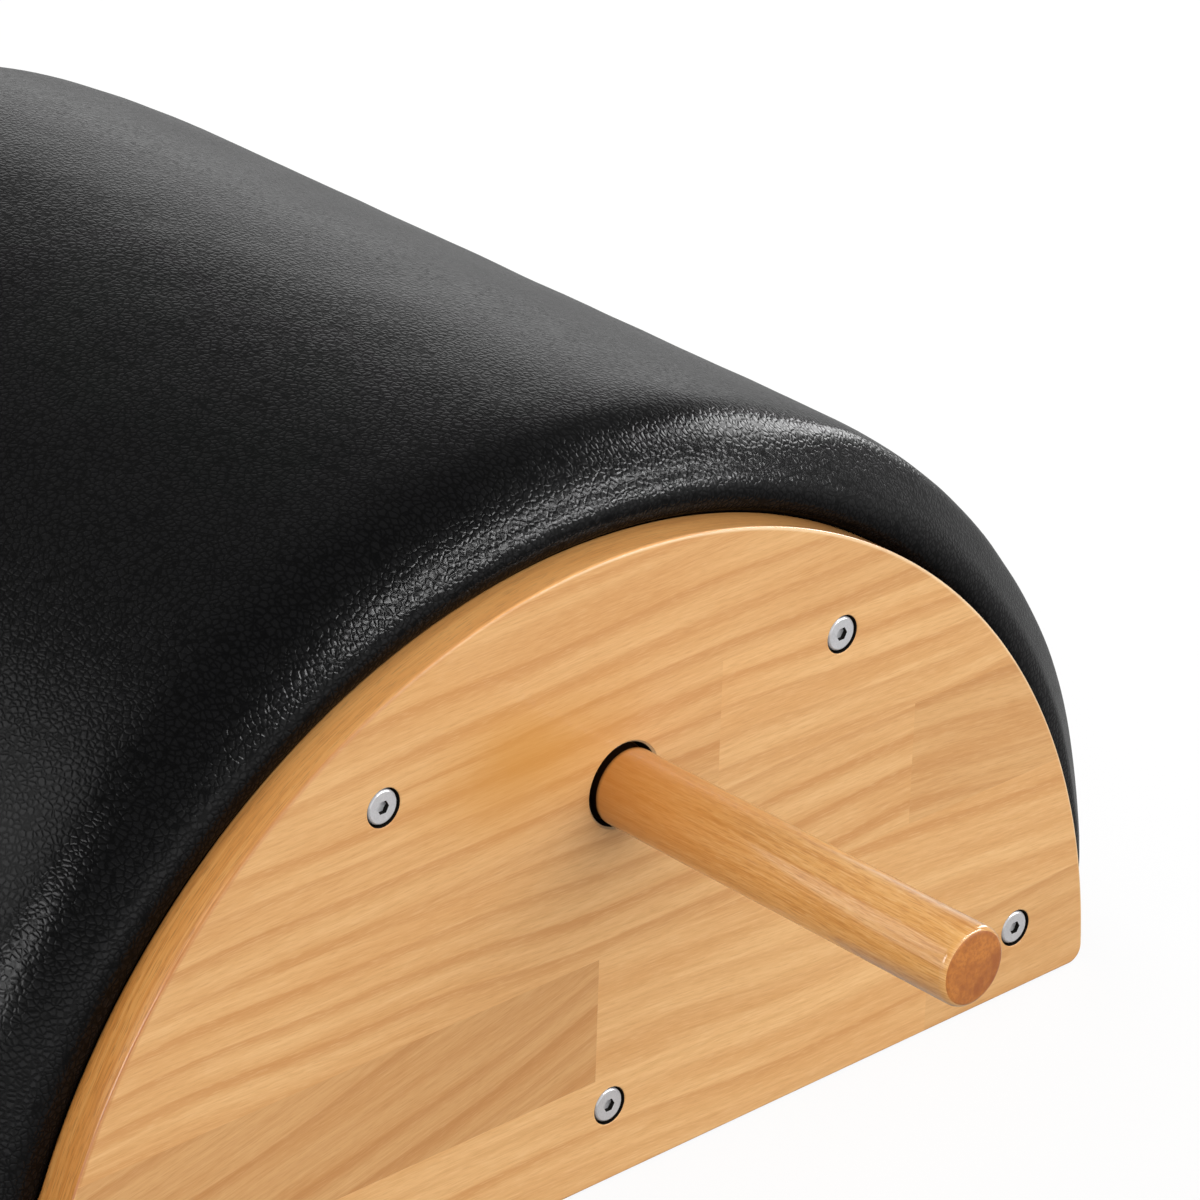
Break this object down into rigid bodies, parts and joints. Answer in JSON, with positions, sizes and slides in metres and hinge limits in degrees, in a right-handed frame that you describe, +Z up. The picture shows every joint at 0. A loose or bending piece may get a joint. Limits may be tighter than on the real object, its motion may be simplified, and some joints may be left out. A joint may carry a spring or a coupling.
{
  "type": "pilates spine corrector",
  "caption": "Padded half-round barrel with a low seat and a step between laminated wooden side panels, with a round pull-out handle on each side.",
  "frame": {"origin": "middle of the underside of the part, on the surface it stands on", "axes": "+Z up, +X to the foot of the barrel, -X to the step, Y across, along the handles"},
  "size_m": [0.8574, 0.898, 0.3116],
  "materials": {
    "panel_wood": "laminated solid hardwood boards, clear satin lacquer",
    "handle_wood": "turned hardwood dowel, clear satin lacquer",
    "rail_wood": "planed hardwood, unfinished",
    "plywood": "plywood, unfinished",
    "foam": "firm upholstery foam",
    "cover": "pebbled black upholstery leather, semi-matt",
    "steel": "satin nickel plate"
  },
  "bodies": {
    "frame": {"side_panel_left": "panel_wood", "side_panel_right": "panel_wood", "handle_block_left": "rail_wood", "handle_block_right": "rail_wood", "rear_upper_rail": "rail_wood", "front_upper_rail": "rail_wood", "front_lower_rail": "rail_wood", "middle_lower_rail": "rail_wood", "rear_lower_rail": "rail_wood", "seat_rail": "rail_wood", "step_rail": "rail_wood", "step_end_rail": "rail_wood", "rear_upper_bolt_left": "steel", "rear_upper_bolt_right": "steel", "front_upper_bolt_left": "steel", "front_upper_bolt_right": "steel", "front_lower_bolt_left": "steel", "front_lower_bolt_right": "steel", "middle_lower_bolt_left": "steel", "middle_lower_bolt_right": "steel", "rear_lower_bolt_left": "steel", "rear_lower_bolt_right": "steel", "seat_bolt_left": "steel", "seat_bolt_right": "steel", "step_bolt_left": "steel", "step_bolt_right": "steel", "step_end_bolt_left": "steel", "step_end_bolt_right": "steel", "rear_upper_nut_left": "steel", "rear_upper_nut_right": "steel", "front_upper_nut_left": "steel", "front_upper_nut_right": "steel", "front_lower_nut_left": "steel", "front_lower_nut_right": "steel", "middle_lower_nut_left": "steel", "middle_lower_nut_right": "steel", "rear_lower_nut_left": "steel", "rear_lower_nut_right": "steel", "seat_nut_left": "steel", "seat_nut_right": "steel", "step_nut_left": "steel", "step_nut_right": "steel", "step_end_nut_left": "steel", "step_end_nut_right": "steel", "barrel_rib": "plywood", "step_rib": "plywood", "barrel_cleat_left": "plywood", "barrel_cleat_right": "plywood", "step_cleat_left": "plywood", "step_cleat_right": "plywood", "barrel_deck": "plywood", "step_deck": "plywood", "barrel_foam": "foam", "step_foam": "foam", "barrel_cover": "cover", "step_cover": "cover"},
    "handle_left": {"handle_left": "handle_wood"},
    "handle_right": {"handle_right": "handle_wood"}
  },
  "joints": [
    {"name": "handle_left_pull", "type": "slide", "parent": "frame", "child": "handle_left", "axis": [0, 1, 0], "range_m": [0, 0.11]},
    {"name": "handle_right_pull", "type": "slide", "parent": "frame", "child": "handle_right", "axis": [0, -1, 0], "range_m": [0, 0.11]}
  ]
}
